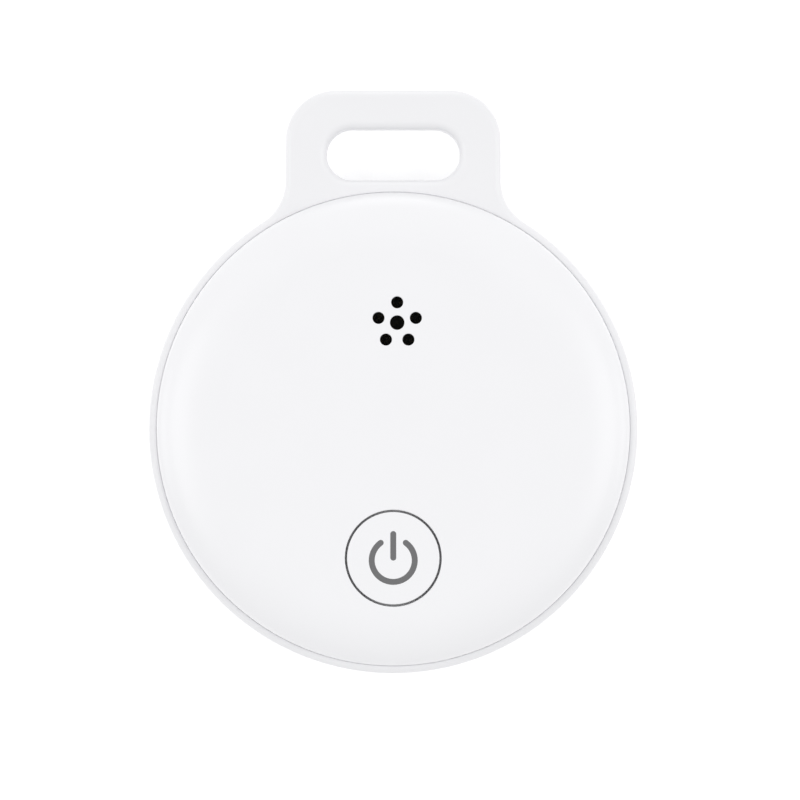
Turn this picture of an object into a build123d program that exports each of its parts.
from build123d import *
from math import cos, radians, sin, sqrt
import os

# Round item-finder tag with a lanyard loop, lying on its back: +Z is the front face's outward
# direction, +Y points to the loop. The origin is the centre of the round body on the back plane.
# Millimetres throughout.

# ---------------------------------------------------------------- Driving dimensions

# Round body and its rear case
body_radius = 20.0
wall = 1.6  # side wall below the ledge
case_floor = 1.4
back_round = 2.4  # rounding between the back face and the side
lip = 0.63  # thin wall that stands round the front cover
lip_height = 1.3  # ledge to the front plane of the lip
outline_edge = 0.5  # rounding along the front outline of the lip and loop
seam_edge = 0.08  # edge break on the lip along the seam
rib_width, rib_height, rib_count = 0.8, 1.0, 8

# Lanyard loop
slot_length, slot_height = 10.9, 4.2
slot_web = 0.34  # round body to slot
loop_bar = 3.16  # slot to the top of the loop
loop_side = 3.35  # slot to the side of the loop
loop_thickness = 4.2
loop_corner = 4.1
loop_root = 4.1  # concave arc between the loop's side and the round body
loop_back_edge = 0.5
slot_edge = 0.6

# Front cover
cover_thickness = 1.1
cover_gap = 0.02  # seam between the cover and the lip
skirt = 0.9
crown_width, crown_drop = 4.42, 1.7  # rounded shoulder: radial width and height
flank = 0.3  # straight side between the shoulder and the lip's front plane
opening_edge = 0.08  # edge break on the cover's openings and on the button
bead_count, bead_sweep = 6, 20  # snap beads that hold the cover in the lip
bead_height, bead_reach, bead_slack = 0.26, 0.1, 0.08
seal_thickness = 0.2
post_radius, pin_radius, pin_clearance = 1.2, 0.6, 0.1
post_angles = (0, 180)

# Sound outlet
sound_x = 0.32
sound_inset = 6.25  # start of the shoulder to the outlet's centre
small_hole, large_hole = 0.49, 0.59  # radii
small_hole_places = ((1.65, 90), (1.57, 166), (1.66, 236.5), (1.66, 303.5), (1.57, 14))  # polar
mesh_radius, mesh_thickness = 3.2, 0.1
adhesive_width, adhesive_thickness = 0.8, 0.1
piezo_radius, piezo_thickness = 6.0, 0.15
ceramic_radius, ceramic_thickness = 4.5, 0.15
piezo_rib, piezo_rib_height = 0.8, 0.4
spring_width, spring_thickness, spring_run, spring_foot = 1.2, 0.1, 2.7, 1.2
spring_tip = 0.8  # flat end that touches the sounder
spring_overlap = 1.5  # how far inside the ceramic's edge one spring touches it

# Power button
button_hole = 3.95
button_margin = 0.45  # button's opening to the start of the shoulder
button_gap = 0.18
button_travel = 0.15
button_seat, button_seat_height = 1.35, 0.2  # flat ring that the membrane is bonded to
membrane_thickness = 0.3
stem_radius, stem_clearance = 1.2, 0.05
symbol_radius, symbol_stroke, symbol_depth = 2.0, 0.485, 0.2
symbol_opening = 35.5  # half of the arc's opening, degrees
symbol_shift = -0.17  # arc centre from button centre
bar_top, bar_bottom = 2.22, -0.19  # from button centre

# Tact switch
switch_size, switch_wall = 4.2, 0.5
switch_floor, switch_lid = 0.2, 0.1
plunger_radius, plunger_proud, plunger_flange, flange_reach = 0.9, 0.3, 0.12, 0.3
dome_thickness, dome_clearance, dome_margin = 0.06, 0.02, 0.1

# Coin cell, a 20 mm by 3.2 mm standard size
cell_radius, cell_height = 10.0, 3.2
cell_wall, cell_edge = 0.25, 0.2
cell_clearance = 0.15
crimp_drop, crimp_height = 0.3, 0.2  # rolled edge of the can, below the cap
cap_inset, cap_gap = 1.3, 0.15  # cap inside the can, and cap to rolled edge
pellet_inset = 0.5
gasket_start = 1.0
cathode_height, separator_height = 1.0, 0.1

# Battery door
door_recess = 0.1
door_plate = 1.5
door_clearance = 0.1
door_skirt_gap, door_skirt = 0.45, 0.9  # round the cell, and the skirt's own wall
lug_reach, lug_height = 0.9, 0.55
lug_half_angle, notch_half_angle = 13.0, 15.0
bayonet_count, door_turn = 3, 30.0
catch_height, catch_gap_below, catch_gap_above = 0.65, 0.15, 0.1
stop_half_angle, stop_gap_angle = 2.0, 1.0
coin_length, coin_width, coin_depth = 13.0, 1.7, 0.8
seal_cord, seal_clearance, groove_clearance = 0.5, 0.03, 0.02
door_edge = 0.15
pad_radius, pad_thickness = 7.0, 0.35
port_wall = 1.1
mark_depth, mark_radius, mark_line = 0.12, 0.45, 0.2
arrow_side, arrow_inset = 1.2, 1.6

# Circuit board, its fixings and the battery tray
contact_gap = 0.35  # cell to board
board_thickness = 0.6
board_clearance = 0.5
tray_plate, tray_wall = 0.8, 0.9
headroom = 0.9  # board to sounder, which sets how thick the tag is
screw_radius, screw_length, screw_tip_gap = 0.7, 3.4, 0.15
screw_head, screw_head_height, screw_edge = 1.25, 0.55, 0.15
screw_clearance, screw_slack = 0.1, 0.02
recess_length, recess_width, recess_depth = 1.4, 0.3, 0.35
boss_radius = 1.55
screw_angles = (45, 135, 225, 315)
strip = 0.12  # sheet that the battery contacts are bent from
positive_width, positive_foot, positive_gap = 4.0, 2.6, 0.02
finger_width, finger_offset = 1.6, 2.2
finger_tip, finger_bend, finger_rise, finger_end = -4.0, -1.0, 4.5, 6.0  # along X
foot_length, foot_width = 2.0, 6.0

# Parts on the board: length, width and height, then the place of the centre
chip_size, chip_place = (5.0, 5.0, 0.85), (4.6, -1.6)
radio_crystal_size, radio_crystal_place = (2.0, 1.6, 0.55), (9.6, -0.4)
clock_crystal_size, clock_crystal_place = (1.6, 1.0, 0.5), (9.6, -3.0)
sensor_size, sensor_place = (2.0, 2.0, 0.9), (-4.4, -2.2)
inductor_size, inductor_place = (2.5, 2.0, 0.9), (-8.6, -1.2)
capacitor_size, capacitor_places = (3.2, 1.6, 0.9), ((-9.4, -4.6), (-9.4, -7.0))
passive_size = (0.5, 1.0, 0.35)
row_pitch, column_pitch = 1.1, 1.6
passive_rows = ((2.4, -5.4, 5), (2.4, 2.0, 3))  # first place, then how many along X
passive_columns = ((-2.0, -4.6, 4), (12.2, -3.4, 3))  # first place, then how many along Y
copper = 0.05
antenna_inset, antenna_width, antenna_half_angle = 0.5, 0.6, 30
antenna_leg, antenna_leg_half_angle, antenna_leg_angles = 1.2, 1, (61, 67)
pad_size, pad_pitch, pad_count, pad_start = 0.45, 1.4, 4, (6.4, -9.4)

# Depth that an added feature is sunk into the piece it belongs to
bury = 0.2

# ---------------------------------------------------------------- Levels and radii that follow

door_inner = door_recess + door_plate
cell_base = door_inner + pad_thickness
cell_top = cell_base + cell_height
board_base = cell_top + contact_gap
board_top = board_base + board_thickness
ceramic_base = board_top + headroom
piezo_base = ceramic_base + ceramic_thickness
piezo_top = piezo_base + piezo_thickness
ceiling = piezo_top + piezo_rib_height
front = ceiling + cover_thickness  # front face of the tag
crown_base = front - crown_drop
rim = crown_base - flank  # front plane of the lip and the loop
ledge = rim - lip_height

loop_base = rim - loop_thickness
loop_width = slot_length + 2 * loop_side
slot_centre = body_radius + slot_web + slot_height / 2
loop_reach = body_radius + slot_web + slot_height + loop_bar

lip_radius = body_radius - lip
cover_radius = lip_radius - cover_gap
skirt_radius = cover_radius - skirt
case_radius = body_radius - wall
board_radius = skirt_radius - board_clearance
crown_start = cover_radius - crown_width

skirt_inner = cell_radius + door_skirt_gap
skirt_outer = skirt_inner + door_skirt
lug_radius = skirt_outer + lug_reach
door_radius = lug_radius + door_clearance
port_radius = door_radius + door_clearance
port_outer = port_radius + port_wall
catch_base = door_inner + catch_gap_below
catch_top = catch_base + catch_height
lug_base = catch_top + catch_gap_above
lug_top = lug_base + lug_height
port_top = lug_top + catch_gap_above
seal_middle = door_recess + door_plate / 2

tray_base = board_base - tray_plate
tray_radius = cell_radius + cell_clearance
tray_wall_base = port_top + catch_gap_above
screw_circle = (port_outer + case_radius) / 2
mark_circle = (port_radius + body_radius - back_round) / 2
cap_radius = cell_radius - cap_inset
cathode_base = cell_base + cell_wall
separator_base = cathode_base + cathode_height
anode_base = separator_base + separator_height
pellet_radius = cap_radius - pellet_inset

button_place = (0, button_hole + button_margin - crown_start)
sound_place = (sound_x, crown_start - sound_inset)
button_cap_radius = button_hole - button_gap
seat_radius = button_hole + button_seat
membrane_top = ceiling - button_seat_height
membrane_base = membrane_top - membrane_thickness
dome_base = board_top + switch_floor
dome_top = dome_base + button_travel + dome_thickness
plunger_base = dome_top + dome_clearance
flange_top = plunger_base + plunger_flange
switch_top = flange_top + switch_lid
plunger_top = switch_top + plunger_proud


# ---------------------------------------------------------------- Shapes used more than once

def disc(radius, low, high, place=(0, 0)):
    """Upright cylinder between two heights."""
    return extrude(Pos(*place, low) * Circle(radius), high - low)


def ring(outer, inner, low, high, place=(0, 0)):
    """Upright tube between two heights."""
    return extrude(Pos(*place, low) * (Circle(outer) - Circle(inner)), high - low)


def block(length, width, low, high, place=(0, 0)):
    """Upright box between two heights, centred on its place."""
    return extrude(Pos(*place, low) * Rectangle(length, width), high - low)


def spun(*outline):
    """Solid of revolution about Z, from a closed outline of radius and height."""
    return revolve(Plane.XZ * make_face(outline), Axis.Z)


def sector(outer, inner, low, high, middle, half_angle):
    """Part of a tube, half_angle either side of the direction middle, in degrees."""
    profile = Pos((outer + inner) / 2, (low + high) / 2) * Rectangle(outer - inner, high - low)
    swept = revolve(Plane.XZ * profile, Axis.Z, revolution_arc=2 * half_angle)
    return Rot(0, 0, middle - half_angle) * swept


def polar(radius, angle):
    """Point at a radius and an angle in degrees."""
    return (radius * cos(radians(angle)), radius * sin(radians(angle)))


def leaf(points, thickness, width, middle):
    """Bent strip: its upper side follows points of (x, z), and it is centred on Y at middle."""
    lower = [(x, z - thickness) for x, z in reversed(points)]
    outline = Plane.XZ * make_face(Polyline(*points, *lower, close=True))
    return Pos(0, middle, 0) * extrude(outline, width / 2, both=True)


def edges_at(solid, level):
    """Edges lying wholly in one horizontal plane."""
    return solid.edges().filter_by_position(Axis.Z, level - 0.01, level + 0.01)


def turned(count, offset=0.0):
    """Equally spaced directions round the body, in degrees."""
    return [offset + 360 / count * step for step in range(count)]


# ---------------------------------------------------------------- Rear case with its loop

def outline():
    """Front outline of the case: the round body and its loop, blended by concave roots."""
    half = loop_width / 2
    root_x = half + loop_root
    root_y = sqrt((body_radius + loop_root) ** 2 - root_x**2)
    meet = body_radius / (body_radius + loop_root)
    side = loop_reach - loop_corner
    right = [
        RadiusArc((root_x * meet, root_y * meet), (half, root_y), loop_root),
        Line((half, root_y), (half, side)),
        RadiusArc((half, side), (half - loop_corner, loop_reach), -loop_corner),
    ]
    left = [mirror(edge, Plane.YZ) for edge in right]
    top = Line((half - loop_corner, loop_reach), (loop_corner - half, loop_reach))
    right_end, left_end = (root_x * meet, root_y * meet), (-root_x * meet, root_y * meet)
    return make_face([*right, top, *left, ThreePointArc(right_end, (0, -body_radius), left_end)])


def loop_plate():
    """Slab with the whole front outline, its edges rounded, and the lanyard slot through it."""
    plate = extrude(Pos(0, 0, loop_base) * outline(), loop_thickness)
    plate = fillet(edges_at(plate, rim), outline_edge)
    plate = fillet(edges_at(plate, loop_base), loop_back_edge)
    plate -= extrude(Pos(0, slot_centre, loop_base) * SlotOverall(slot_length, slot_height),
                     loop_thickness)
    mouths = [
        edge for edge in edges_at(plate, rim) + edges_at(plate, loop_base)
        if abs(edge.center().X) < slot_length / 2
        and abs(edge.center().Y - slot_centre) < slot_height / 2 + 0.01
    ]
    return fillet(mouths, slot_edge)


def round_body():
    """Outside of the round body, up to where the front outline's rounding starts."""
    top = rim - outline_edge
    return spun(
        Line((0, 0), (body_radius - back_round, 0)),
        RadiusArc((body_radius - back_round, 0), (body_radius, back_round), -back_round),
        Line((body_radius, back_round), (body_radius, top)),
        Line((body_radius, top), (0, top)),
        Line((0, top), (0, 0)),
    )


def hollow():
    """Room inside the case, with the battery port through its floor."""
    return spun(
        Line((0, 0), (port_radius, 0)),
        Line((port_radius, 0), (port_radius, port_top)),
        Line((port_radius, port_top), (port_outer, port_top)),
        Line((port_outer, port_top), (port_outer, case_floor)),
        Line((port_outer, case_floor), (case_radius, case_floor)),
        Line((case_radius, case_floor), (case_radius, ledge)),
        Line((case_radius, ledge), (lip_radius, ledge)),
        Line((lip_radius, ledge), (lip_radius, rim)),
        Line((lip_radius, rim), (0, rim)),
        Line((0, rim), (0, 0)),
    )


def bayonet_catches():
    """Lugs of the port that hold the door, and the stops at both ends of its turn."""
    outer, inner = port_radius + port_wall / 2, skirt_outer + door_clearance
    half_angle = 180 / bayonet_count - notch_half_angle
    reach = lug_half_angle + stop_gap_angle + stop_half_angle
    for direction in turned(bayonet_count, 180 / bayonet_count):
        yield sector(outer, inner, catch_base, catch_top, direction, half_angle)
    for notch in turned(bayonet_count):
        for stop in (notch - reach, notch + door_turn + reach):
            yield sector(outer, inner, catch_top - bury, lug_top, stop, stop_half_angle)


def bead_ring(outer, inner, slack, half_angle):
    """Arcs of the snap beads, or of their grooves, halfway up the lip."""
    low = (ledge + rim - bead_height) / 2 - slack
    high = (ledge + rim + bead_height) / 2 + slack
    for direction in turned(bead_count, 90):
        yield sector(outer, inner, low, high, direction, half_angle)


def marks():
    """Alignment marks in the back face: a dot for locked and a ring for open."""
    locked, opened = polar(mark_circle, -90), polar(mark_circle, -90 - door_turn)
    yield disc(mark_radius, 0, mark_depth, locked)
    yield ring(mark_radius, mark_radius - mark_line, 0, mark_depth, opened)


def rear_case():
    case = round_body() + loop_plate() - hollow()
    seam = [edge for edge in edges_at(case, rim) if edge.geom_type == GeomType.CIRCLE
            and abs(edge.radius - lip_radius) < 0.01]
    case = fillet(seam, seam_edge)

    rib_length = case_radius - port_outer + 2 * bury
    rib_middle = (case_radius + port_outer) / 2
    rib = block(rib_length, rib_width, case_floor - bury, case_floor + rib_height, (rib_middle, 0))
    screw_tip = board_top - screw_length - screw_tip_gap
    case += [Rot(0, 0, direction) * rib for direction in turned(rib_count, 180 / rib_count)]
    case += list(bayonet_catches())
    case += [disc(boss_radius, case_floor - bury, tray_base, polar(screw_circle, angle))
             for angle in screw_angles]
    case -= [disc(screw_radius + screw_slack, screw_tip, tray_base, polar(screw_circle, angle))
             for angle in screw_angles]
    groove = cover_radius + bead_reach + bead_slack
    case -= list(bead_ring(groove, lip_radius - bury, bead_slack, bead_sweep / 2 + 1))
    case -= list(marks())
    return case


# ---------------------------------------------------------------- Front cover and sound outlet

def dome_shape(radius, width, drop, top, low):
    """Flat-topped disc with a rounded shoulder, filled down to the level low."""
    start = radius - width
    return spun(
        Line((0, low), (0, top)),
        Line((0, top), (start, top)),
        EllipticalCenterArc((start, top - drop), width, drop, arc_size=90),
        Line((radius, top - drop), (radius, low)),
        Line((radius, low), (0, low)),
    )


def cover_bosses():
    """What stands under the cover: seats for the membrane and sounder, and two posts."""
    seat_top = ceiling + cover_thickness / 2
    rib_outer, rib_inner = piezo_radius + piezo_rib / 2, piezo_radius - piezo_rib / 2
    yield disc(seat_radius, membrane_top, seat_top, button_place)
    yield ring(rib_outer, rib_inner, piezo_top, seat_top, sound_place)
    for angle in post_angles:
        place = polar(screw_circle, angle)
        yield disc(post_radius, board_top, seat_top, place)
        yield disc(pin_radius, board_base, board_top + bury, place)


def cover_openings():
    """Openings for the button and the sound."""
    yield disc(button_hole, membrane_top, front, button_place)
    yield disc(large_hole, ceiling, front, sound_place)
    for radius, angle in small_hole_places:
        x, y = polar(radius, angle)
        yield disc(small_hole, ceiling, front, (sound_x + x, sound_place[1] + y))


def front_cover():
    foot = ledge + seal_thickness
    shell = dome_shape(cover_radius, crown_width, crown_drop, front, foot) - dome_shape(
        skirt_radius, crown_width - skirt, crown_drop - cover_thickness, ceiling, foot
    )
    envelope = dome_shape(cover_radius, crown_width, crown_drop, front, board_base)
    cover = shell + [boss & envelope for boss in cover_bosses()]
    cover += list(bead_ring(cover_radius + bead_reach, cover_radius - bury, 0, bead_sweep / 2))
    cover -= list(cover_openings())
    openings = [edge for edge in edges_at(cover, front) if edge.radius < button_hole + 0.01]
    return fillet(openings, opening_edge)


def perimeter_seal():
    return ring(cover_radius, skirt_radius, ledge, ledge + seal_thickness)


def sound_mesh():
    return disc(mesh_radius, ceiling - mesh_thickness, ceiling, sound_place)


def mesh_adhesive():
    low = ceiling - mesh_thickness - adhesive_thickness
    return ring(mesh_radius, mesh_radius - adhesive_width, low, ceiling - mesh_thickness, sound_place)


def piezo_plate():
    return disc(piezo_radius, piezo_base, piezo_top, sound_place)


def piezo_ceramic():
    return disc(ceramic_radius, ceramic_base, piezo_base, sound_place)


def piezo_contacts():
    """Two leaf springs on the board: one touches the plate's edge, the other the ceramic."""
    foot = board_top + spring_thickness
    on_plate = (piezo_radius + ceramic_radius - spring_tip) / 2
    on_ceramic = ceramic_radius - spring_overlap - spring_tip
    springs = []
    for start, height, turn in ((on_plate, piezo_base, 180), (on_ceramic, ceramic_base, 0)):
        bend = start + spring_tip
        landing = bend + spring_run
        points = [(start, height), (bend, height), (landing, foot), (landing + spring_foot, foot)]
        spring = leaf(points, spring_thickness, spring_width, 0)
        springs.append(Pos(*sound_place) * Rot(0, 0, turn) * spring)
    return Compound(springs)


# ---------------------------------------------------------------- Power button and switch

def symbol_face():
    """Power symbol: an open ring with a bar in its gap."""
    middle = symbol_radius - symbol_stroke / 2
    arc = CenterArc((0, symbol_shift), middle, 90 + symbol_opening, 360 - 2 * symbol_opening)
    bar = SlotOverall(bar_top - bar_bottom, symbol_stroke, rotation=90)
    return SlotArc(arc, symbol_stroke) + Pos(0, (bar_top + bar_bottom) / 2) * bar


def power_symbol():
    return extrude(Pos(*button_place, front - symbol_depth) * symbol_face(), symbol_depth)


def button_cap():
    cap = disc(button_cap_radius, membrane_top, front, button_place)
    cap = fillet(edges_at(cap, front), opening_edge)
    cap += disc(stem_radius, plunger_top, membrane_top, button_place)
    return cap - power_symbol()


def button_membrane():
    hole = stem_radius + stem_clearance
    return ring(seat_radius, hole, membrane_base, membrane_top, button_place)


def switch_base():
    box = block(switch_size, switch_size, board_top, flange_top, button_place)
    return box - disc(switch_size / 2 - switch_wall, dome_base, flange_top, button_place)


def switch_dome():
    """Snap dome: a thin shell standing on the floor of the switch."""
    reach = switch_size / 2 - switch_wall - dome_margin
    inner_reach = reach - 2 * dome_thickness
    inner_top = dome_top - dome_thickness
    outer = ThreePointArc((-reach, dome_base), (0, dome_top), (reach, dome_base))
    inner = ThreePointArc((-inner_reach, dome_base), (0, inner_top), (inner_reach, dome_base))
    profile = make_face([
        outer.trim(0.5, 1),
        inner.trim(0.5, 1),
        Line((0, inner_top), (0, dome_top)),
        Line((inner_reach, dome_base), (reach, dome_base)),
    ])
    return Pos(*button_place, 0) * revolve(Plane.XZ * profile, Axis.Z)


def switch_plunger():
    body = disc(plunger_radius, plunger_base, plunger_top, button_place)
    return body + disc(plunger_radius + flange_reach, plunger_base, flange_top, button_place)


def switch_cover():
    lid = block(switch_size, switch_size, flange_top, switch_top, button_place)
    return lid - disc(plunger_radius + stem_clearance, flange_top, switch_top, button_place)


# ---------------------------------------------------------------- Circuit board

def fixing_holes(low, high):
    """Holes of the board and of the tray, for the screws and for the cover's pins."""
    for angle in screw_angles:
        yield disc(screw_radius + screw_clearance, low, high, polar(screw_circle, angle))
    for angle in post_angles:
        yield disc(pin_radius + pin_clearance, low, high, polar(screw_circle, angle))


def circuit_board():
    return disc(board_radius, board_base, board_top) - list(fixing_holes(board_base, board_top))


def on_board(size, place):
    """Part soldered to the front of the board."""
    length, width, height = size
    return block(length, width, board_top, board_top + height, place)


def radio_chip():
    return on_board(chip_size, chip_place)


def radio_crystal():
    return on_board(radio_crystal_size, radio_crystal_place)


def clock_crystal():
    return on_board(clock_crystal_size, clock_crystal_place)


def motion_sensor():
    return on_board(sensor_size, sensor_place)


def boost_inductor():
    return on_board(inductor_size, inductor_place)


def bulk_capacitors():
    return Compound([on_board(capacitor_size, place) for place in capacitor_places])


def passives():
    """Small chip resistors and capacitors round the radio chip and the sensor."""
    places = [(x + row_pitch * step, y) for x, y, count in passive_rows for step in range(count)]
    places += [(x, y + column_pitch * step) for x, y, count in passive_columns for step in range(count)]
    return Compound([on_board(passive_size, place) for place in places])


def antenna_trace():
    """Inverted-F antenna: an arc near the board's edge, with its feed and ground legs."""
    outer = board_radius - antenna_inset
    inner = outer - antenna_width
    low, high = board_top, board_top + copper
    legs = [sector(inner + bury / 2, inner - antenna_leg, low, high, angle, antenna_leg_half_angle)
            for angle in antenna_leg_angles]
    return sector(outer, inner, low, high, 90, antenna_half_angle) + legs


def test_pads():
    x, y = pad_start
    places = [(x + pad_pitch * step, y) for step in range(pad_count)]
    return Compound([disc(pad_size, board_top, board_top + copper, place) for place in places])


def board_screws():
    """Self-tapping screws with a cross recess, through the board and tray into the bosses."""
    head_top = board_top + screw_head_height
    head = disc(screw_head, board_top, head_top)
    head = fillet(edges_at(head, head_top), screw_edge)
    screw = head + disc(screw_radius, board_top - screw_length, board_top)
    for length, width in ((recess_length, recess_width), (recess_width, recess_length)):
        screw -= block(length, width, head_top - recess_depth, head_top)
    return Compound([Pos(*polar(screw_circle, angle)) * screw for angle in screw_angles])


# ---------------------------------------------------------------- Battery tray and contacts

def battery_tray():
    """Ring under the board that centres the cell, with a pocket for the positive contact."""
    tray = ring(board_radius, tray_radius, tray_base, board_base)
    tray += ring(tray_radius + tray_wall, tray_radius, tray_wall_base, tray_base)
    pocket_end = cell_radius + positive_gap + positive_foot + cell_clearance
    pocket = block(pocket_end, positive_width + 4 * cell_clearance, tray_wall_base, board_base,
                   (-pocket_end / 2, 0))
    return tray - pocket - list(fixing_holes(tray_base, board_base))


def positive_contact():
    """Bent strip: a foot under the board, and a leg beside the cell's side wall."""
    inside = -cell_radius - positive_gap
    foot = inside - positive_foot
    tip = tray_wall_base
    outline = Polyline(
        (foot, board_base),
        (inside, board_base),
        (inside, tip),
        (inside - strip, tip),
        (inside - strip, board_base - strip),
        (foot, board_base - strip),
        close=True,
    )
    return extrude(Plane.XZ * make_face(outline), positive_width / 2, both=True)


def negative_contact():
    """Two sprung fingers from one foot under the board, resting on the cell's cap."""
    low = cell_top + strip
    points = [(finger_tip, low), (finger_bend, low), (finger_rise, board_base),
              (finger_end, board_base)]
    foot = block(foot_length, foot_width, board_base - strip, board_base,
                 (finger_end + foot_length / 2 - bury, 0))
    return foot + [leaf(points, strip, finger_width, middle)
                   for middle in (-finger_offset, finger_offset)]


# ---------------------------------------------------------------- Coin cell

def cell_can():
    """Steel can with its rim rolled in over the gasket."""
    inner = cell_radius - cell_wall
    top = cell_top - crimp_drop
    can = disc(cell_radius, cell_base, top) - disc(inner, cathode_base, top)
    can = fillet(edges_at(can, cell_base), cell_edge)
    return can + ring(inner + cell_wall / 2, cap_radius + cap_gap, top - crimp_height, top)


def cell_gasket():
    top = cell_top - crimp_drop - crimp_height
    return ring(cell_radius - cell_wall, cap_radius, cell_base + gasket_start, top)


def cell_cap():
    """Steel cap, open towards the can."""
    cap = disc(cap_radius, anode_base, cell_top)
    cap -= disc(cap_radius - cell_wall, anode_base, cell_top - cell_wall)
    return fillet(edges_at(cap, cell_top), cell_edge)


def cell_cathode():
    return disc(pellet_radius, cathode_base, separator_base)


def cell_separator():
    return disc(pellet_radius, separator_base, anode_base)


def cell_anode():
    return disc(pellet_radius, anode_base, cell_top - cell_wall)


# ---------------------------------------------------------------- Battery door

def battery_door():
    """Bayonet door with a coin slot, a groove for its seal and a skirt with three lugs."""
    door = disc(door_radius, door_recess, door_inner)
    door = fillet(edges_at(door, door_recess), door_edge)
    groove_floor = port_radius - seal_clearance - seal_cord - groove_clearance
    groove_half = seal_cord / 2 + groove_clearance
    door -= ring(port_radius, groove_floor, seal_middle - groove_half, seal_middle + groove_half)
    door += ring(skirt_outer, skirt_inner, door_inner, lug_top)
    door += [sector(lug_radius, skirt_outer - bury, lug_base, lug_top, notch + door_turn, lug_half_angle)
             for notch in turned(bayonet_count)]
    coin = SlotOverall(coin_length, coin_width)
    pointer = polar(door_radius - arrow_inset, -90)
    arrow = Triangle(a=arrow_side, b=arrow_side, c=arrow_side, rotation=180)
    door -= extrude(Pos(0, 0, door_recess) * coin, coin_depth)
    return door - extrude(Pos(*pointer, door_recess) * arrow, mark_depth)


def door_seal():
    """Round cord that seals the door in its port."""
    middle = port_radius - seal_clearance - seal_cord / 2
    return Pos(0, 0, seal_middle) * Torus(middle, seal_cord / 2)


def door_pad():
    return disc(pad_radius, door_inner, door_inner + pad_thickness)


nodes = [
    rear_case, front_cover, perimeter_seal, sound_mesh, mesh_adhesive, piezo_plate, piezo_ceramic,
    piezo_contacts, button_cap, power_symbol, button_membrane, switch_base, switch_dome,
    switch_plunger, switch_cover, circuit_board, radio_chip, radio_crystal, clock_crystal,
    motion_sensor, boost_inductor, bulk_capacitors, passives, antenna_trace, test_pads,
    board_screws, battery_tray, positive_contact, negative_contact, cell_can, cell_gasket,
    cell_cap, cell_cathode, cell_separator, cell_anode, battery_door, door_seal, door_pad,
]

os.makedirs("parts", exist_ok=True)
for make in nodes:
    export_step(make(), f"parts/{make.__name__}.step")
